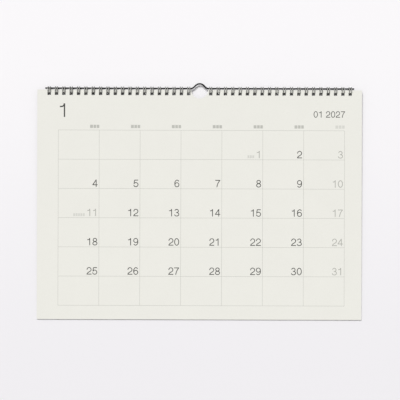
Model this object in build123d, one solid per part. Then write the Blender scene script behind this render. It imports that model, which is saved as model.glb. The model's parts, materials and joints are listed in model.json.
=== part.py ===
from build123d import *

import os
from math import asin, atan2, cos, degrees, floor, hypot, pi, radians, sin, sqrt, tan

# A wall calendar of A3 sheets, bound along the top with two twin-loop wires and hung on a bent rod.
# Millimetres. X runs to the right as seen from the front, the front faces -Y, and Z is up.
# The origin is the point of the hanger's hump that bears on the nail.

# Sheets
PAPER_WIDTH = 420.0
PAPER_HEIGHT = 297.0
LEAF_COUNT = 13
LEAF_THICKNESS = 0.14

# Punched holes
HOLE_PITCH = 9.5
HOLE_HEIGHT = 3.8
HOLE_SIDE_CLEARANCE = 0.37
SKIPPED_HOLES = 2
SIDE_MARGIN = 12.0

# Thumb notch: the paper left between the notch and the nearest hole
NOTCH_WEB = 1.0

# Twin-loop wire
WIRE_DIAMETER = 1.1
WIRE_SIDES = 5
LOOP_INNER_DIAMETER = 6.9
LOOP_WIDTH = 2.66
LOOP_STEPS = 10
ROOT_BEND_RADIUS = 1.5
SEAM_GAP = 0.25
SEAM_ANGLE = 35.0

# Hanger rod, drawn with flat sides this far apart
ROD_DIAMETER = 2.0
ROD_SIDES = 10
ROD_END_OVERHANG = 5.25
ROD_END_CHAMFER = 0.3
HUMP_WIDTH = 18.7
HUMP_HEIGHT = 6.1
HUMP_TOP_RADIUS = 7.4
HUMP_BASE_RADIUS = 5.0

# How the pieces hang in each other
ROD_CLEARANCE = 0.45
LEAF_CLEARANCE = 0.15
EDGE_GAP = 0.95

# Hole places along the top edge, mirrored left and right of the skipped ones
block_thickness = LEAF_COUNT * LEAF_THICKNESS
hole_width = LOOP_WIDTH + WIRE_DIAMETER + 2 * HOLE_SIDE_CLEARANCE
first_hole = (SKIPPED_HOLES + 1) * HOLE_PITCH / 2
holes_per_side = floor((PAPER_WIDTH / 2 - SIDE_MARGIN - first_hole) / HOLE_PITCH) + 1
last_hole = first_hole + (holes_per_side - 1) * HOLE_PITCH
right_holes = [first_hole + index * HOLE_PITCH for index in range(holes_per_side)]
left_holes = [x - last_hole - first_hole for x in right_holes]
notch_radius = first_hole - hole_width / 2 - NOTCH_WEB

# Heights, from the nail down
rod_radius = ROD_DIAMETER / 2
rod_z = rod_radius - HUMP_HEIGHT
loop_inner_radius = LOOP_INNER_DIAMETER / 2
loop_z = rod_z + rod_radius + ROD_CLEARANCE - loop_inner_radius
hole_seat = sqrt(loop_inner_radius**2 - (block_thickness / 2) ** 2)
hole_top = loop_z - hole_seat + LEAF_CLEARANCE
paper_top = rod_z - rod_radius - EDGE_GAP

# The wire has a five-sided section of the round wire's area, a flat side turned to the loop's centre.
wire_corner = WIRE_DIAMETER / 2 * sqrt(2 * pi / (WIRE_SIDES * sin(2 * pi / WIRE_SIDES)))
wire_flat = wire_corner * cos(pi / WIRE_SIDES)

# The loop's tip nests between its own two root bends: their centres are this far apart along the loop.
tip_radius = LOOP_WIDTH / 2
bend_reach = tip_radius + ROOT_BEND_RADIUS
seam_length = sqrt((bend_reach + WIRE_DIAMETER + SEAM_GAP) ** 2 - bend_reach**2)
wire_radius_line = loop_inner_radius + WIRE_DIAMETER / 2
seam_span = degrees(seam_length / wire_radius_line)
root_angle = SEAM_ANGLE + seam_span / 2
arc_span = 360 - seam_span
arc_step = arc_span / LOOP_STEPS
loop_radius = (loop_inner_radius + wire_flat) / cos(radians(arc_step / 2))
root_drop = degrees(ROOT_BEND_RADIUS / loop_radius)
tip_rise = degrees(tip_radius * sin(pi / 3) / loop_radius)


def on_loop(x, angle):
    """A point of the wire's centre line, the angle counted from the loop's foot towards the wall."""
    return (x, loop_radius * sin(radians(angle)), loop_z - loop_radius * cos(radians(angle)))


def hairpin(x):
    """One twin loop: up the back, over the top, down the front, through the hole and round its tip."""
    points = []
    for step in range(LOOP_STEPS + 1):
        points.append(on_loop(x - tip_radius, root_angle + step * arc_step))
    tip_angle = root_angle + arc_span
    for across in (-tip_radius / 2, tip_radius / 2):
        points.append(on_loop(x + across, tip_angle + tip_rise))
    for step in range(LOOP_STEPS + 1):
        points.append(on_loop(x + tip_radius, tip_angle - step * arc_step))
    return points


def comb(loop_places):
    """One wire bent into a row of twin loops, joined at their roots."""
    points = [on_loop(loop_places[0] - tip_radius - ROOT_BEND_RADIUS, root_angle - root_drop)]
    for x in loop_places:
        if x != loop_places[0]:
            points.append(on_loop(x - tip_radius - ROOT_BEND_RADIUS, root_angle - root_drop))
        points += hairpin(x)
        points.append(on_loop(x + tip_radius + ROOT_BEND_RADIUS, root_angle - root_drop))
    path = Polyline(*points)
    start = Vector(*points[0])
    along = Vector(*points[1]) - start
    outward = Vector(0, start.Y, start.Z - loop_z)
    plane = Plane(start, x_dir=outward - along * (outward.dot(along) / along.dot(along)), z_dir=along)
    section = plane * RegularPolygon(wire_corner, WIRE_SIDES)
    return sweep(section, path=path, transition=Transition.RIGHT)


def make_leaves():
    """The block of sheets, punched and notched."""
    block = Pos(0, 0, paper_top - PAPER_HEIGHT / 2) * Box(PAPER_WIDTH, block_thickness, PAPER_HEIGHT)
    punch = Box(hole_width, 2 * block_thickness, HOLE_HEIGHT)
    punches = [Pos(x, 0, hole_top - HOLE_HEIGHT / 2) * punch for x in left_holes + right_holes]
    notch = Pos(0, 0, paper_top) * Rot(90, 0, 0) * Cylinder(notch_radius, 2 * block_thickness)
    return block - punches - notch


def make_hanger():
    """The rod, bent into a hump that fits through the notch."""
    foot = HUMP_WIDTH / 2
    drop = HUMP_TOP_RADIUS - HUMP_HEIGHT
    slope = asin(HUMP_TOP_RADIUS / hypot(foot, drop)) - atan2(drop, foot)
    peak = rod_z + foot * tan(slope)
    rod_end = last_hole + ROD_END_OVERHANG
    left_end = (-rod_end, 0, rod_z)
    right_end = (rod_end, 0, rod_z)
    corners = [left_end, (-foot, 0, rod_z), (0, 0, peak), (foot, 0, rod_z), right_end]
    bends = [HUMP_BASE_RADIUS, HUMP_TOP_RADIUS, HUMP_BASE_RADIUS]
    path = FilletPolyline(*corners, radius=bends)
    flat_below = Rot(0, 0, 180 / ROD_SIDES) * RegularPolygon(rod_radius, ROD_SIDES, major_radius=False)
    rod = sweep(Plane(left_end, x_dir=(0, 0, -1), z_dir=(1, 0, 0)) * flat_below, path=path)
    ends = rod.faces().sort_by(Axis.X)
    return chamfer(ends[0].edges() + ends[-1].edges(), ROD_END_CHAMFER)


nodes = {
    "leaves": make_leaves(),
    "wire_left": comb(left_holes),
    "wire_right": comb(right_holes),
    "hanger": make_hanger(),
}

os.makedirs("parts", exist_ok=True)
for name, shape in nodes.items():
    export_step(shape, f"parts/{name}.step")
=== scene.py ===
import json
import random
from math import asin, atan2, ceil, cos, hypot, pi, radians, sin, sqrt, tan

import bpy
from mathutils import Matrix, Vector
from mathutils.geometry import delaunay_2d_cdt


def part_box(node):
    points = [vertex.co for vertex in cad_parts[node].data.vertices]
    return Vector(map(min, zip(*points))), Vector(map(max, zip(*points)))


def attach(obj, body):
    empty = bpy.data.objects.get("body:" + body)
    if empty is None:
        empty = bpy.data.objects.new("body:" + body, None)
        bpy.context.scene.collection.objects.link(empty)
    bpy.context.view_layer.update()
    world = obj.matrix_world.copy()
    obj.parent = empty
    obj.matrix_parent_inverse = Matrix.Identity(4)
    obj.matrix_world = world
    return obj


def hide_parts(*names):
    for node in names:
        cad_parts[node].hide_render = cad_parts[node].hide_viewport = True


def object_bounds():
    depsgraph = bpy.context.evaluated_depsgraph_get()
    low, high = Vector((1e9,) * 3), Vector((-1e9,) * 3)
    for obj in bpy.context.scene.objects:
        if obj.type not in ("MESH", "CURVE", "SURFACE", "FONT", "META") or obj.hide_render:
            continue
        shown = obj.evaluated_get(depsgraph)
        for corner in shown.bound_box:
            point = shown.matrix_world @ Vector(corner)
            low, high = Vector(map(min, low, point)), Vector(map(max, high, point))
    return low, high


# A wall calendar: a stack of printed sheets on twin-loop wires, hung from a bent rod.
# Sizes are in millimetres and turned into metres by MM. The front faces -Y, and Z is up.

MM = 0.001
SEED = 7

# Sheets
LEAF_COUNT = 13
LEAF_AIR = 0.012
LEAF_SHIFT = 0.09
HOLE_PITCH = 9.5
HOLE_WIDTH = 4.5
HOLE_HEIGHT = 3.8
SKIPPED_HOLES = 2
HOLES_PER_SIDE = 20
NOTCH_RADIUS = 11.0
NOTCH_STEPS = 40

# Twin-loop wire
WIRE_DIAMETER = 1.1
WIRE_SIDES = 12
LOOP_INNER_DIAMETER = 6.9
LOOP_WIDTH = 2.66
ROOT_BEND_RADIUS = 1.5
SEAM_GAP = 0.25
SEAM_ANGLE = 35.0
LEG_STEPS = 34
TIP_STEPS = 10
BEND_STEPS = 6
TIP_SHIFT = 0.12
WIRE_END_ROUNDING = 0.1375
HOLE_TO_LOOP = 0.15

# Hanger rod
ROD_DIAMETER = 2.0
ROD_SIDES = 24
ROD_END_ROUNDING = 0.3
HUMP_WIDTH = 18.7
HUMP_HEIGHT = 6.1
HUMP_TOP_RADIUS = 7.4
HUMP_BASE_RADIUS = 5.0
HUMP_STEPS = 14

# Print on the front sheet, measured from the paper's left and top edges
GRID_LEFT = 27.3
GRID_TOP = 52.2
COLUMN_WIDTH = 52.9
ROW_HEIGHT = 37.8
COLUMNS = 7
ROWS = 6
RULE_WIDTH = 0.3
DAY_COUNT = 31
FIRST_DAY_COLUMN = 4
SUNDAY_COLUMN = 6
LIGHT_DAYS = (1, 11)
DAY_SIZE = 13.3
DAY_RIGHT_GAP = 1.5
DAY_BASE_GAP = 2.05
MONTH_TEXT = "1"
MONTH_SIZE = 24.9
MONTH_LEFT = 26.9
MONTH_BASE = 35.4
YEAR_TEXT = "01 2027"
YEAR_SIZE = 11.5
YEAR_RIGHT = 398.6
YEAR_BASE = 35.2
LABEL_HEIGHT = 4.1
LABEL_BLOCK_WIDTHS = (3.7, 3.4, 3.3)
LABEL_BLOCK_GAP = 0.75
LABEL_BASE_GAP = 2.7
NOTE_HEIGHT = 3.6
NOTE_BLOCK_WIDTH = 2.4
NOTE_BLOCK_GAP = 0.7
NOTE_BLOCKS = {1: 3, 11: 5}
NOTE_GAP = 2.2

# Digits, as shares of their size: one advance for all, flat heights and stroke widths
DIGIT_ADVANCE = 0.556
DIGIT_HEIGHT = 0.709
DAY_STROKE = 0.078
MONTH_STROKE = 0.07
CURVE_STEPS = 12

# Filling the sheet with triangles: the mode that keeps what is inside, and how near points merge
FILL_INSIDE = 1
SAME_PLACE = 1e-5

# Colours as seen on a screen, 0 to 255
PAPER_COLOUR = (238, 237, 230)
DARK_INK_COLOUR = (72, 72, 69)
LIGHT_INK_COLOUR = (181, 181, 174)
RULE_COLOUR = (176, 176, 169)
LABEL_COLOUR = (192, 192, 185)
LIGHT_LABEL_COLOUR = (218, 218, 211)
WIRE_COLOUR = (146, 146, 143)
ROD_COLOUR = (16, 16, 16)
# The wall's faint lilac tint, with painted light falloff: darker at the foot and lighter at the top
WALL_FOOT_PAINTED_SHADE_COLOUR = (241, 239, 242)
WALL_TOP_PAINTED_LIGHT_COLOUR = (251, 249, 251)
SURROUND_COLOUR = (250, 250, 250)
BLACK = (0.0, 0.0, 0.0, 1.0)
WHITE = (1.0, 1.0, 1.0, 1.0)

# Paper and ink: noise in cycles to the metre, the tooth's depth in millimetres
CLOUD_SCALE = 28.0
CLOUD_DETAIL = 3.0
CLOUD_RANGE = (0.3, 0.7)
FIBRE_SCALE = 1500.0
FIBRE_DETAIL = 6.0
FIBRE_RANGE = (0.32, 0.52)
FIBRE_SHADE = (0.972, 0.97, 0.962, 1.0)
TOOTH_STRENGTH = 0.35
TOOTH_DEPTH = 0.03
SHEET_GLOSS = 0.25
PAPER_MOTTLE = 0.006
PAPER_ROUGHNESS = 0.88
PALE_INK_MOTTLE = 0.03
PALE_INK_ROUGHNESS = 0.8
DARK_INK_MOTTLE = 0.04
DARK_INK_ROUGHNESS = 0.75

# Wire and rod: noise and depth as above, wear as places on the noise and what it does there
WEAR_SCALE = 260.0
WEAR_DETAIL = 8.0
WEAR_SHADES = ((0.42, 0.8), (0.62, 1.0), (0.78, 2.2))
WEAR_ROUGHNESS = ((0.35, -0.08), (0.75, 0.1))
PEEL_SCALE = 1400.0
PEEL_DETAIL = 3.0
PEEL_STRENGTH = 0.25
PEEL_DEPTH = 0.02
WIRE_ROUGHNESS = 0.42
WIRE_GLOSS = 0.5
WIRE_METAL = 1.0
WIRE_STRETCH = (1.0, 1.0, 1.0)
ROD_ROUGHNESS = 0.36
ROD_GLOSS = 0.12
ROD_METAL = 0.0
ROD_STRETCH = (0.15, 1.0, 1.0)

# Camera, wall and lamps
IMAGE_WIDTH_MM = 517.8
CAMERA_DISTANCE = 1500.0
CAMERA_RIGHT = 0.8
CAMERA_UP = 6.2
CAMERA_ROLL = 0.18
SENSOR_WIDTH = 36.0
WALL_GAP = 0.4
FOOT_GAP = 0.3
WALL_SIZE = 6000.0
WALL_ROUGHNESS = 0.9
WALL_GLOSS = 0.1
FIRST_BOUNCE = 1.5
KEY_DIRECTION = (1.0, 5.0, -2.4)
KEY_ANGLE = 26.0
KEY_STRENGTH = 2.72
WORLD_STRENGTH = 0.22
BACK_DIRECTION = (0.0, -1.0, 0.0)
BACK_ANGLE = 12.0
BACK_STRENGTH = 1.8
SIDE_DIRECTION = (5.0, -0.8, -0.8)
SIDE_ANGLE = 20.0
SIDE_STRENGTH = 1.5

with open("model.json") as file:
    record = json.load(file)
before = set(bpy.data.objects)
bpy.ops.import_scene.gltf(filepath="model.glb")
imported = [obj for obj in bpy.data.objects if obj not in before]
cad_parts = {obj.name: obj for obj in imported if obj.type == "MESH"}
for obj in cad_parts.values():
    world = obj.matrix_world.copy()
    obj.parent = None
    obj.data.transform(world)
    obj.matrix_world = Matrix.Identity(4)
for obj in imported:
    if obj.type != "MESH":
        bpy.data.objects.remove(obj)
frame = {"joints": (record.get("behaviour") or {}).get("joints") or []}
cad_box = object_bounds()

# Corners of the block of sheets and of the rod, and the heights of the rod and of the rings' centre
low, high = (Vector(corner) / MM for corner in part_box("leaves"))
rod_low, rod_high = (Vector(corner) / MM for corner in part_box("hanger"))
hinges = {joint["name"]: joint for joint in frame["joints"]}
rod_z = hinges["hanger_swivel"]["pos_m"][2] / MM
loop_z = hinges["leaves_turn"]["pos_m"][2] / MM
draw = random.Random(SEED)

# Sizes that follow
paper_width = high.x - low.x
paper_height = high.z - low.z
block_thickness = high.y - low.y
loop_inner_radius = LOOP_INNER_DIAMETER / 2
loop_radius = loop_inner_radius + WIRE_DIAMETER / 2
hole_top = loop_z - sqrt(loop_inner_radius**2 - (block_thickness / 2) ** 2) + HOLE_TO_LOOP
first_hole = (SKIPPED_HOLES + 1) * HOLE_PITCH / 2
right_holes = [first_hole + index * HOLE_PITCH for index in range(HOLES_PER_SIDE)]
left_holes = [-x for x in reversed(right_holes)]


def linear(colour):
    """A screen colour as the linear colour that a shader takes."""
    shares = [value / 255 for value in colour]
    return tuple(c / 12.92 if c <= 0.04045 else ((c + 0.055) / 1.055) ** 2.4 for c in shares) + (1.0,)


def new_material(name):
    """An empty node material with its shader, ready for its textures."""
    material = bpy.data.materials.new(name)
    material.use_nodes = True
    shader = material.node_tree.nodes["Principled BSDF"]
    return material, material.node_tree, shader


def object_noise(tree, scale, detail, stretch=(1.0, 1.0, 1.0)):
    """A noise texture in the object's own coordinates, its scale in cycles to the metre."""
    place = tree.nodes.new("ShaderNodeTexCoord")
    mapping = tree.nodes.new("ShaderNodeMapping")
    mapping.inputs["Scale"].default_value = stretch
    noise = tree.nodes.new("ShaderNodeTexNoise")
    noise.inputs["Scale"].default_value = scale
    noise.inputs["Detail"].default_value = detail
    tree.links.new(place.outputs["Object"], mapping.inputs["Vector"])
    tree.links.new(mapping.outputs["Vector"], noise.inputs["Vector"])
    return noise.outputs["Fac"]


def ramp(tree, value, stops, interpolation="LINEAR"):
    """A colour ramp over a value: stops are places and linear colours."""
    node = tree.nodes.new("ShaderNodeValToRGB")
    node.color_ramp.interpolation = interpolation
    while len(node.color_ramp.elements) < len(stops):
        node.color_ramp.elements.new(0.5)
    for element, (place, colour) in zip(node.color_ramp.elements, stops):
        element.position = place
        element.color = colour
    tree.links.new(value, node.inputs["Fac"])
    return node.outputs["Color"]


def scaled(colour, factor):
    """A linear colour made lighter or darker."""
    return tuple(channel * factor for channel in colour[:3]) + (1.0,)


def multiply(tree, first, second):
    """The product of two colours."""
    node = tree.nodes.new("ShaderNodeMix")
    node.data_type = "RGBA"
    node.blend_type = "MULTIPLY"
    node.inputs["Factor"].default_value = 1.0
    tree.links.new(first, node.inputs["A"])
    tree.links.new(second, node.inputs["B"])
    return node.outputs["Result"]


def math_node(tree, operation, first, second):
    """A number worked out from two others: sockets are linked and plain numbers are set."""
    node = tree.nodes.new("ShaderNodeMath")
    node.operation = operation
    for socket, value in zip(node.inputs, (first, second)):
        if isinstance(value, (int, float)):
            socket.default_value = value
        else:
            tree.links.new(value, socket)
    return node.outputs["Value"]


def seen_rays(tree, path):
    """One for rays that show a surface, straight, mirrored or through glass, and nought for other rays."""
    total = path.outputs["Is Camera Ray"]
    for kind in ("Is Glossy Ray", "Is Transmission Ray"):
        total = math_node(tree, "MAXIMUM", total, path.outputs[kind])
    return total


def add_bump(tree, shader, height, strength, distance_mm):
    """A bump of the given depth on the shader."""
    bump = tree.nodes.new("ShaderNodeBump")
    bump.inputs["Strength"].default_value = strength
    bump.inputs["Distance"].default_value = distance_mm * MM
    tree.links.new(height, bump.inputs["Height"])
    tree.links.new(bump.outputs["Normal"], shader.inputs["Normal"])


def printed_material(name, colour, mottle, roughness):
    """Uncoated paper or ink on it: fibres, a slow mottle and a fine tooth."""
    material, tree, shader = new_material(name)
    base = linear(colour)
    shades = (scaled(base, 1.0 - mottle), scaled(base, 1.0 + mottle))
    cloud = object_noise(tree, CLOUD_SCALE, CLOUD_DETAIL)
    clouded = ramp(tree, cloud, list(zip(CLOUD_RANGE, shades)))
    fibre = object_noise(tree, FIBRE_SCALE, FIBRE_DETAIL)
    fibred = ramp(tree, fibre, list(zip(FIBRE_RANGE, (FIBRE_SHADE, WHITE))))
    tree.links.new(multiply(tree, clouded, fibred), shader.inputs["Base Color"])
    shader.inputs["Roughness"].default_value = roughness
    shader.inputs["Specular IOR Level"].default_value = SHEET_GLOSS
    add_bump(tree, shader, fibre, TOOTH_STRENGTH, TOOTH_DEPTH)
    return material


def satin_metal_material(name, colour, roughness, gloss, metal, stretch):
    """Satin wire or rod: a skin with a slight orange peel, drawn lines and rubbed spots."""
    material, tree, shader = new_material(name)
    base = linear(colour)
    wear = object_noise(tree, WEAR_SCALE, WEAR_DETAIL, stretch)
    worn = ramp(tree, wear, [(place, scaled(base, shade)) for place, shade in WEAR_SHADES])
    tree.links.new(worn, shader.inputs["Base Color"])
    rough = ramp(tree, wear, [(place, scaled(WHITE, roughness + more)) for place, more in WEAR_ROUGHNESS])
    tree.links.new(rough, shader.inputs["Roughness"])
    shader.inputs["Specular IOR Level"].default_value = gloss
    shader.inputs["Metallic"].default_value = metal
    peel = object_noise(tree, PEEL_SCALE, PEEL_DETAIL, stretch)
    add_bump(tree, shader, peel, PEEL_STRENGTH, PEEL_DEPTH)
    return material


def mesh_object(name, verts, faces, materials, face_slots=None, smooth=False):
    """A mesh piece from points in millimetres."""
    mesh = bpy.data.meshes.new(name)
    mesh.from_pydata([Vector(point) * MM for point in verts], [], faces)
    for material in materials:
        mesh.materials.append(material)
    if face_slots:
        mesh.polygons.foreach_set("material_index", face_slots)
    mesh.polygons.foreach_set("use_smooth", [smooth] * len(mesh.polygons))
    mesh.update()
    piece = bpy.data.objects.new(name, mesh)
    bpy.context.scene.collection.objects.link(piece)
    return piece


def tube(path, radius, sides, end_rounding):
    """Points and faces of a round bar along a path, its frame carried along without twist."""
    points = [Vector(point) for point in path]
    tangents = []
    for index in range(len(points)):
        before = points[max(index - 1, 0)]
        after = points[min(index + 1, len(points) - 1)]
        tangents.append((after - before).normalized())
    side = tangents[0].orthogonal().normalized()
    rings = []
    for index, (point, tangent) in enumerate(zip(points, tangents)):
        if index:
            side = tangents[index - 1].rotation_difference(tangent) @ side
        side = (side - tangent * side.dot(tangent)).normalized()
        rings.append((point, tangent, side, radius))
    start, end = rings[0], rings[-1]
    small = radius - end_rounding
    rings[0] = (start[0] + start[1] * end_rounding, start[1], start[2], radius)
    rings[-1] = (end[0] - end[1] * end_rounding, end[1], end[2], radius)
    rings.insert(0, (start[0], start[1], start[2], small))
    rings.append((end[0], end[1], end[2], small))
    verts = []
    for point, tangent, side, ring_radius in rings:
        across = tangent.cross(side)
        for step in range(sides):
            turn = 2 * pi * step / sides
            verts.append(point + (side * cos(turn) + across * sin(turn)) * ring_radius)
    faces = []
    for ring in range(len(rings) - 1):
        for step in range(sides):
            here = ring * sides + step
            beside = ring * sides + (step + 1) % sides
            faces.append((here, beside, beside + sides, here + sides))
    faces.append(tuple(reversed(range(sides))))
    last = (len(rings) - 1) * sides
    faces.append(tuple(range(last, last + sides)))
    return verts, faces


# Twin-loop wires
tip_radius = LOOP_WIDTH / 2
bend_reach = tip_radius + ROOT_BEND_RADIUS
seam_length = sqrt((bend_reach + WIRE_DIAMETER + SEAM_GAP) ** 2 - bend_reach**2)
root_length = radians(SEAM_ANGLE) * loop_radius + seam_length / 2
leg_length = 2 * pi * loop_radius - seam_length


def on_loop(x, length):
    """A point of the wire's centre line, its length counted along the loop from the foot to the back."""
    angle = length / loop_radius
    return (x, loop_radius * sin(angle), loop_z - loop_radius * cos(angle))


def hairpin(x, tip_shift):
    """One twin loop, from root bend to root bend."""
    tip_length = root_length + leg_length + tip_shift
    points = []
    for step in range(BEND_STEPS):
        turn = pi / 2 * step / BEND_STEPS
        bend_x = x - bend_reach + ROOT_BEND_RADIUS * sin(turn)
        points.append(on_loop(bend_x, root_length - ROOT_BEND_RADIUS * cos(turn)))
    for step in range(LEG_STEPS):
        share = step / LEG_STEPS
        points.append(on_loop(x - tip_radius, root_length + (tip_length - root_length) * share))
    for step in range(TIP_STEPS + 1):
        turn = pi * step / TIP_STEPS
        points.append(on_loop(x - tip_radius * cos(turn), tip_length + tip_radius * sin(turn)))
    for step in range(1, LEG_STEPS + 1):
        share = 1 - step / LEG_STEPS
        points.append(on_loop(x + tip_radius, root_length + (tip_length - root_length) * share))
    for step in range(1, BEND_STEPS + 1):
        turn = pi / 2 * (1 - step / BEND_STEPS)
        bend_x = x + bend_reach - ROOT_BEND_RADIUS * sin(turn)
        points.append(on_loop(bend_x, root_length - ROOT_BEND_RADIUS * cos(turn)))
    return points


def make_wire(name, holes, material):
    """One wire bent into a row of twin loops."""
    path = []
    for x in holes:
        path += hairpin(x, draw.uniform(-TIP_SHIFT, 0))
    verts, faces = tube(path, WIRE_DIAMETER / 2, WIRE_SIDES, WIRE_END_ROUNDING)
    wire = mesh_object(name + "_round", verts, faces, [material], smooth=True)
    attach(wire, "binding")
    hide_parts(name)


def arc_points(centre_x, centre_z, radius, start, end, steps):
    """Points along an arc in the plane of the rod, angles from +X towards +Z."""
    points = []
    for step in range(steps + 1):
        turn = start + (end - start) * step / steps
        points.append((centre_x + radius * cos(turn), 0.0, centre_z + radius * sin(turn)))
    return points


def make_hanger(material):
    """The rod with its hump, as one round bar."""
    foot = HUMP_WIDTH / 2
    rise = HUMP_TOP_RADIUS - HUMP_HEIGHT
    slope = asin(HUMP_TOP_RADIUS / hypot(foot, rise)) - atan2(rise, foot)
    bend_x = foot + HUMP_BASE_RADIUS * tan(slope / 2)
    base_z = rod_z + HUMP_BASE_RADIUS
    top_z = rod_z + HUMP_HEIGHT - HUMP_TOP_RADIUS
    down = -pi / 2
    up = pi / 2
    path = [(rod_low.x, 0.0, rod_z)]
    path += arc_points(-bend_x, base_z, HUMP_BASE_RADIUS, down, down + slope, HUMP_STEPS)
    path += arc_points(0.0, top_z, HUMP_TOP_RADIUS, up + slope, up - slope, 2 * HUMP_STEPS)
    path += arc_points(bend_x, base_z, HUMP_BASE_RADIUS, down - slope, down, HUMP_STEPS)
    path.append((rod_high.x, 0.0, rod_z))
    verts, faces = tube(path, ROD_DIAMETER / 2, ROD_SIDES, ROD_END_ROUNDING)
    rod = mesh_object("hanger_round", verts, faces, [material], smooth=True)
    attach(rod, "hanger")
    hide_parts("hanger")


# Digits: each is a list of strokes, a stroke is a list of points, sizes are shares of the em
def curve(centre, radii, start, end):
    """A stroke along an ellipse, angles in degrees."""
    steps = max(2, ceil(CURVE_STEPS * abs(end - start) / 180))
    points = []
    for step in range(steps + 1):
        turn = radians(start + (end - start) * step / steps)
        points.append((centre[0] + radii[0] * cos(turn), centre[1] + radii[1] * sin(turn)))
    return points


def bezier(a, b, c, d):
    """A stroke along a cubic curve."""
    points = []
    for step in range(CURVE_STEPS + 1):
        t = step / CURVE_STEPS
        s = 1 - t
        points.append(
            tuple(s**3 * a[i] + 3 * s * s * t * b[i] + 3 * s * t * t * c[i] + t**3 * d[i] for i in (0, 1))
        )
    return points


def digit_strokes(digit, stroke):
    """The centre lines of one digit, for strokes of that width."""
    half = stroke / 2
    top = DIGIT_HEIGHT - half
    foot = half
    middle = DIGIT_ADVANCE / 2
    if digit == "0":
        return [curve((middle, DIGIT_HEIGHT / 2), (0.24 - half, DIGIT_HEIGHT / 2 + 0.01 - half), 90, 450)]
    if digit == "1":
        flag = [(0.09, 0.545)] + curve((0.182, 0.68), (0.135, 0.135), -90, 0) + [(0.317, DIGIT_HEIGHT)]
        return [[(0.33, 0.0), (0.33, DIGIT_HEIGHT)], flag]
    if digit == "2":
        bowl = curve((0.275, 0.48), (0.235 - half, DIGIT_HEIGHT + 0.01 - 0.48 - half), 185, -32)
        sweep = bezier(bowl[-1], (0.36, 0.27), (0.1, 0.21), (0.075, foot))
        return [bowl, sweep, [(0.035, foot), (0.515, foot)]]
    if digit == "3":
        upper = curve((0.265, 0.522), (0.205 - half, 0.197 - half), 172, -90)
        lower = curve((0.27, 0.197), (0.245 - half, 0.207 - half), 90, -175)
        return [upper, [(0.215, 0.522 - 0.197 + half), (0.27, 0.197 + 0.207 - half)], lower]
    if digit == "4":
        stem = [(0.385, 0.0), (0.385, DIGIT_HEIGHT)]
        return [stem, [(0.368, top), (0.052, 0.205)], [(0.025, 0.205), (0.53, 0.205)]]
    if digit == "5":
        bowl = curve((0.268, 0.23), (0.247 - half, 0.24 - half), 152, -172)
        return [[(0.13, top), (0.492, top)], [(0.147, top), (0.09, 0.3)], bowl]
    if digit == "6":
        bowl = curve((0.285, 0.228), (0.235 - half, 0.238 - half), 0, 360)
        back = curve((0.3, 0.36), (0.262 - half, 0.36 - half), 40, 205)
        return [bowl, back]
    if digit == "7":
        return [[(0.04, top), (0.517, top)], bezier((0.49, top), (0.33, 0.5), (0.225, 0.27), (0.195, 0.0))]
    if digit == "8":
        upper = curve((middle, 0.528), (0.21 - half, 0.191 - half), 0, 360)
        lower = curve((middle, 0.192), (0.24 - half, 0.202 - half), 0, 360)
        return [upper, lower]
    turned = digit_strokes("6", stroke)
    return [[(DIGIT_ADVANCE - x, DIGIT_HEIGHT - y) for x, y in line] for line in turned]


def ribbon(points, width):
    """Quads of a flat stroke of that width along a line of points."""
    lefts = []
    rights = []
    closed = hypot(points[0][0] - points[-1][0], points[0][1] - points[-1][1]) < SAME_PLACE
    count = len(points)
    for index, (x, y) in enumerate(points):
        if closed:
            before = points[(index - 1) % (count - 1)]
            after = points[(index + 1) % (count - 1)]
        else:
            before = points[max(index - 1, 0)]
            after = points[min(index + 1, count - 1)]
        along = Vector((after[0] - before[0], after[1] - before[1])).normalized()
        lefts.append((x - along.y * width / 2, y + along.x * width / 2))
        rights.append((x + along.y * width / 2, y - along.x * width / 2))
    return [(rights[i], rights[i + 1], lefts[i + 1], lefts[i]) for i in range(count - 1)]


def advance(sign, size):
    """How far a digit moves the pen, and a space half as far."""
    return size * (DIGIT_ADVANCE if sign != " " else DIGIT_ADVANCE / 2)


def number_quads(text, size, stroke, left, base):
    """Quads of a number, in millimetres right of the paper's left edge and down from its top."""
    quads = []
    pen = left
    for sign in text:
        if sign != " ":
            for line in digit_strokes(sign, stroke):
                placed = [(pen + x * size, -base + y * size) for x, y in line]
                quads += ribbon(placed, stroke * size)
        pen += advance(sign, size)
    return quads


def number_width(text, size):
    """How far a number's advances reach."""
    return sum(advance(sign, size) for sign in text)


def rectangle(left, top, right, bottom):
    """One quad, in millimetres right of the paper's left edge and down from its top."""
    return ((left, -bottom), (right, -bottom), (right, -top), (left, -top))


def label_quads(right, base, height, widths, gap):
    """A row of plain blocks in the place of small words, set against their right end."""
    quads = []
    edge = right
    for width in reversed(widths):
        quads.append(rectangle(edge - width, base - height, edge, base))
        edge -= width + gap
    return quads


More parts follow.
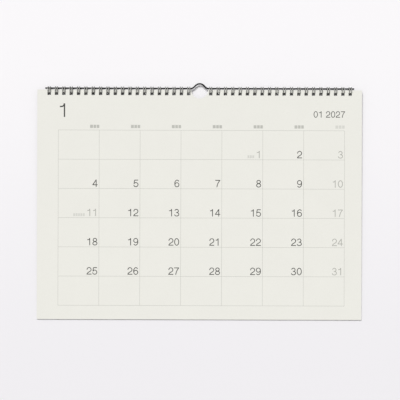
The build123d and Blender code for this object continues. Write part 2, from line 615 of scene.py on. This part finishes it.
def print_fields():
    """Every printed field of the front sheet, by the name of its ink."""
    fields = {"rule": [], "dark": [], "light": [], "label": [], "light_label": []}
    grid_right = GRID_LEFT + COLUMNS * COLUMN_WIDTH
    grid_bottom = GRID_TOP + ROWS * ROW_HEIGHT
    half = RULE_WIDTH / 2
    for column in range(COLUMNS + 1):
        x = GRID_LEFT + column * COLUMN_WIDTH
        fields["rule"].append(rectangle(x - half, GRID_TOP - half, x + half, grid_bottom + half))
    for row in range(ROWS + 1):
        y = GRID_TOP + row * ROW_HEIGHT
        fields["rule"].append(rectangle(GRID_LEFT - half, y - half, grid_right + half, y + half))
    for column in range(COLUMNS):
        ink = "light_label" if column == SUNDAY_COLUMN else "label"
        right = GRID_LEFT + (column + 1) * COLUMN_WIDTH
        fields[ink] += label_quads(
            right, GRID_TOP - LABEL_BASE_GAP, LABEL_HEIGHT, LABEL_BLOCK_WIDTHS, LABEL_BLOCK_GAP
        )
    for day in range(1, DAY_COUNT + 1):
        row, column = divmod(day - 1 + FIRST_DAY_COLUMN, COLUMNS)
        ink = "light" if column == SUNDAY_COLUMN or day in LIGHT_DAYS else "dark"
        text = str(day)
        left = GRID_LEFT + (column + 1) * COLUMN_WIDTH - DAY_RIGHT_GAP - number_width(text, DAY_SIZE)
        base = GRID_TOP + (row + 1) * ROW_HEIGHT - DAY_BASE_GAP
        fields[ink] += number_quads(text, DAY_SIZE, DAY_STROKE, left, base)
        blocks = [NOTE_BLOCK_WIDTH] * NOTE_BLOCKS.get(day, 0)
        fields["light_label"] += label_quads(left - NOTE_GAP, base, NOTE_HEIGHT, blocks, NOTE_BLOCK_GAP)
    fields["dark"] += number_quads(MONTH_TEXT, MONTH_SIZE, MONTH_STROKE, MONTH_LEFT, MONTH_BASE)
    year_left = YEAR_RIGHT - number_width(YEAR_TEXT, YEAR_SIZE)
    fields["dark"] += number_quads(YEAR_TEXT, YEAR_SIZE, DAY_STROKE, year_left, YEAR_BASE)
    return fields


def sheet_outline():
    """The sheet's edge with its half-round notch, in millimetres from the paper's top left corner."""
    middle = paper_width / 2
    points = [(0.0, -paper_height), (paper_width, -paper_height), (paper_width, 0.0)]
    for step in range(NOTCH_STEPS + 1):
        turn = pi * step / NOTCH_STEPS
        points.append((middle + NOTCH_RADIUS * cos(turn), -NOTCH_RADIUS * sin(turn)))
    points.append((0.0, 0.0))
    return points


def flat_sheet(fields, slots):
    """Points, triangles and ink slots of a sheet with its holes, notch and printed fields."""
    outline = sheet_outline()
    points = list(outline)
    loops = [list(range(len(outline)))]
    loop_slots = [0]

    def add_loop(corners, slot):
        loops.append(list(range(len(points), len(points) + len(corners))))
        points.extend(corners)
        loop_slots.append(slot)

    hole_depth = high.z - hole_top
    for x in left_holes + right_holes:
        left = x - low.x - HOLE_WIDTH / 2
        add_loop(rectangle(left, hole_depth, left + HOLE_WIDTH, hole_depth + HOLE_HEIGHT), None)
    for ink, quads in fields.items():
        for quad in quads:
            add_loop(quad, slots[ink])
    places = [Vector(point) for point in points]
    flat, _, triangles, _, _, sources = delaunay_2d_cdt(places, [], loops, FILL_INSIDE, SAME_PLACE)
    kept = []
    kept_slots = []
    for triangle, source in zip(triangles, sources):
        found = [loop_slots[index] for index in source]
        if None not in found:
            kept.append(tuple(triangle))
            kept_slots.append(max(found))
    return flat, kept, kept_slots


def thick_sheet(flat, triangles, front_slots, front_y, thickness, shift):
    """A closed thin sheet: a printed front, a plain back and the cut edges between them."""
    count = len(flat)
    verts = []
    for y in (front_y, front_y + thickness):
        for point in flat:
            verts.append((low.x + point[0] + shift[0], y, high.z + point[1] + shift[1]))
    faces = []
    slots = []
    rims = {}
    for (a, b, c), slot in zip(triangles, front_slots):
        faces.append((a, b, c))
        slots.append(slot)
        faces.append((count + a, count + c, count + b))
        slots.append(0)
        for edge in ((a, b), (b, c), (c, a)):
            if edge[::-1] in rims:
                del rims[edge[::-1]]
            else:
                rims[edge] = True
    for a, b in rims:
        faces.append((b, a, count + a, count + b))
        slots.append(0)
    return verts, faces, slots


def make_leaves(materials):
    """The stack of sheets, the front one printed, each a little out of line with the next."""
    slots = {name: index for index, name in enumerate(materials)}
    pitch = block_thickness / LEAF_COUNT
    printed = flat_sheet(print_fields(), slots)
    blank = flat_sheet({}, slots)
    verts = []
    faces = []
    face_slots = []
    for leaf in range(LEAF_COUNT):
        shape = blank if leaf else printed
        shift = (draw.uniform(-LEAF_SHIFT, LEAF_SHIFT), draw.uniform(-LEAF_SHIFT, LEAF_SHIFT))
        front_y = low.y + leaf * pitch + LEAF_AIR / 2
        points, triangles, inks = thick_sheet(*shape, front_y, pitch - LEAF_AIR, shift if leaf else (0, 0))
        start = len(verts)
        verts += points
        faces += [tuple(start + corner for corner in face) for face in triangles]
        face_slots += inks
    stack = mesh_object("leaf_stack", verts, faces, list(materials.values()), face_slots)
    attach(stack, "leaves")
    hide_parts("leaves")


def wall_material(middle_z):
    """A pale wall with painted light falloff, lighter upwards and darker towards the bottom, see-through
    from behind.

    It lets the light from behind reach the calendar's back, and throws no light on the calendar.
    """
    material, tree, shader = new_material("wall")
    place = tree.nodes.new("ShaderNodeTexCoord")
    split = tree.nodes.new("ShaderNodeSeparateXYZ")
    span = tree.nodes.new("ShaderNodeMapRange")
    span.inputs["From Min"].default_value = (middle_z - IMAGE_WIDTH_MM / 2) * MM
    span.inputs["From Max"].default_value = (middle_z + IMAGE_WIDTH_MM / 2) * MM
    tree.links.new(place.outputs["Object"], split.inputs["Vector"])
    tree.links.new(split.outputs["Z"], span.inputs["Value"])
    # Painted light falloff: the wall's colour darkens towards the bottom by height
    stops = [(0.0, linear(WALL_FOOT_PAINTED_SHADE_COLOUR)), (1.0, linear(WALL_TOP_PAINTED_LIGHT_COLOUR))]
    painted_falloff = ramp(tree, span.outputs["Result"], stops, "EASE")
    path = tree.nodes.new("ShaderNodeLightPath")
    seen = ramp(tree, seen_rays(tree, path), [(0.0, BLACK), (1.0, WHITE)])
    tree.links.new(multiply(tree, painted_falloff, seen), shader.inputs["Base Color"])
    shader.inputs["Roughness"].default_value = WALL_ROUGHNESS
    shader.inputs["Specular IOR Level"].default_value = WALL_GLOSS
    geometry = tree.nodes.new("ShaderNodeNewGeometry")
    first_bounce = math_node(tree, "LESS_THAN", path.outputs["Ray Depth"], FIRST_BOUNCE)
    soft_ray = math_node(tree, "MAXIMUM", path.outputs["Is Shadow Ray"], path.outputs["Is Diffuse Ray"])
    let_through = math_node(tree, "MULTIPLY", first_bounce, soft_ray)
    unseen = math_node(tree, "MAXIMUM", geometry.outputs["Backfacing"], let_through)
    clear = tree.nodes.new("ShaderNodeBsdfTransparent")
    mix = tree.nodes.new("ShaderNodeMixShader")
    tree.links.new(unseen, mix.inputs["Fac"])
    tree.links.new(shader.outputs["BSDF"], mix.inputs[1])
    tree.links.new(clear.outputs["BSDF"], mix.inputs[2])
    tree.links.new(mix.outputs["Shader"], tree.nodes["Material Output"].inputs["Surface"])
    return material


def make_wall():
    """The wall behind the calendar, which stands off it by its loops and leans on it at its foot."""
    loop_y = cad_box[1][1] / MM + WALL_GAP
    foot_y = high.y + FOOT_GAP
    lean = (loop_y - foot_y) / (loop_z - low.z)
    middle_z = (low.z + high.z) / 2
    half = WALL_SIZE / 2
    corners = []
    for x, z in ((-half, -half), (half, -half), (half, half), (-half, half)):
        corners.append((x, loop_y + (middle_z + z - loop_z) * lean, middle_z + z))
    wall = mesh_object("wall", corners, [(0, 1, 2, 3)], [wall_material(middle_z)])


def add_sun(name, direction, strength, angle):
    """A lamp far away that shines along a direction."""
    light = bpy.data.lights.new(name, "SUN")
    light.energy = strength
    light.angle = radians(angle)
    lamp = bpy.data.objects.new(name, light)
    lamp.rotation_euler = Vector(direction).to_track_quat("-Z", "Y").to_euler()
    bpy.context.scene.collection.objects.link(lamp)


def make_world():
    """An even pale surround, white where the camera sees it."""
    world = bpy.data.worlds.new("surround")
    world.use_nodes = True
    tree = world.node_tree
    light = tree.nodes["Background"]
    light.inputs["Color"].default_value = WHITE
    light.inputs["Strength"].default_value = WORLD_STRENGTH
    seen = tree.nodes.new("ShaderNodeBackground")
    seen.inputs["Color"].default_value = linear(SURROUND_COLOUR)
    path = tree.nodes.new("ShaderNodeLightPath")
    mix = tree.nodes.new("ShaderNodeMixShader")
    tree.links.new(seen_rays(tree, path), mix.inputs["Fac"])
    tree.links.new(light.outputs["Background"], mix.inputs[1])
    tree.links.new(seen.outputs["Background"], mix.inputs[2])
    tree.links.new(mix.outputs["Shader"], tree.nodes["World Output"].inputs["Surface"])
    bpy.context.scene.world = world


def make_camera():
    """The camera straight in front of the wall, a little above the paper's middle."""
    data = bpy.data.cameras.new("camera")
    data.sensor_width = SENSOR_WIDTH
    data.lens = SENSOR_WIDTH * CAMERA_DISTANCE / IMAGE_WIDTH_MM
    camera = bpy.data.objects.new("camera", data)
    place = Vector((CAMERA_RIGHT, -CAMERA_DISTANCE, (low.z + high.z) / 2 + CAMERA_UP)) * MM
    turn = Matrix.Rotation(radians(-CAMERA_ROLL), 4, "Y") @ Matrix.Rotation(pi / 2, 4, "X")
    camera.matrix_world = Matrix.Translation(place) @ turn
    bpy.context.scene.collection.objects.link(camera)
    bpy.context.scene.camera = camera


bpy.context.scene.view_settings.view_transform = "Standard"
wire_material = satin_metal_material(
    "binding_wire", WIRE_COLOUR, WIRE_ROUGHNESS, WIRE_GLOSS, WIRE_METAL, WIRE_STRETCH
)
make_wire("wire_left", left_holes, wire_material)
make_wire("wire_right", right_holes, wire_material)
rod_material = satin_metal_material(
    "hanger_rod", ROD_COLOUR, ROD_ROUGHNESS, ROD_GLOSS, ROD_METAL, ROD_STRETCH
)
make_hanger(rod_material)
sheet_materials = {"paper": printed_material("paper", PAPER_COLOUR, PAPER_MOTTLE, PAPER_ROUGHNESS)}
pale_inks = {
    "rule": RULE_COLOUR,
    "label": LABEL_COLOUR,
    "light_label": LIGHT_LABEL_COLOUR,
    "light": LIGHT_INK_COLOUR,
}
for ink, colour in pale_inks.items():
    sheet_materials[ink] = printed_material(ink + "_ink", colour, PALE_INK_MOTTLE, PALE_INK_ROUGHNESS)
sheet_materials["dark"] = printed_material("dark_ink", DARK_INK_COLOUR, DARK_INK_MOTTLE, DARK_INK_ROUGHNESS)
make_leaves(sheet_materials)
make_wall()
make_world()
add_sun("key", KEY_DIRECTION, KEY_STRENGTH, KEY_ANGLE)
add_sun("back_fill", BACK_DIRECTION, BACK_STRENGTH, BACK_ANGLE)
across, forward, down = SIDE_DIRECTION
for side, name in ((1, "left_fill"), (-1, "right_fill")):
    add_sun(name, (side * across, forward, down), SIDE_STRENGTH, SIDE_ANGLE)
make_camera()
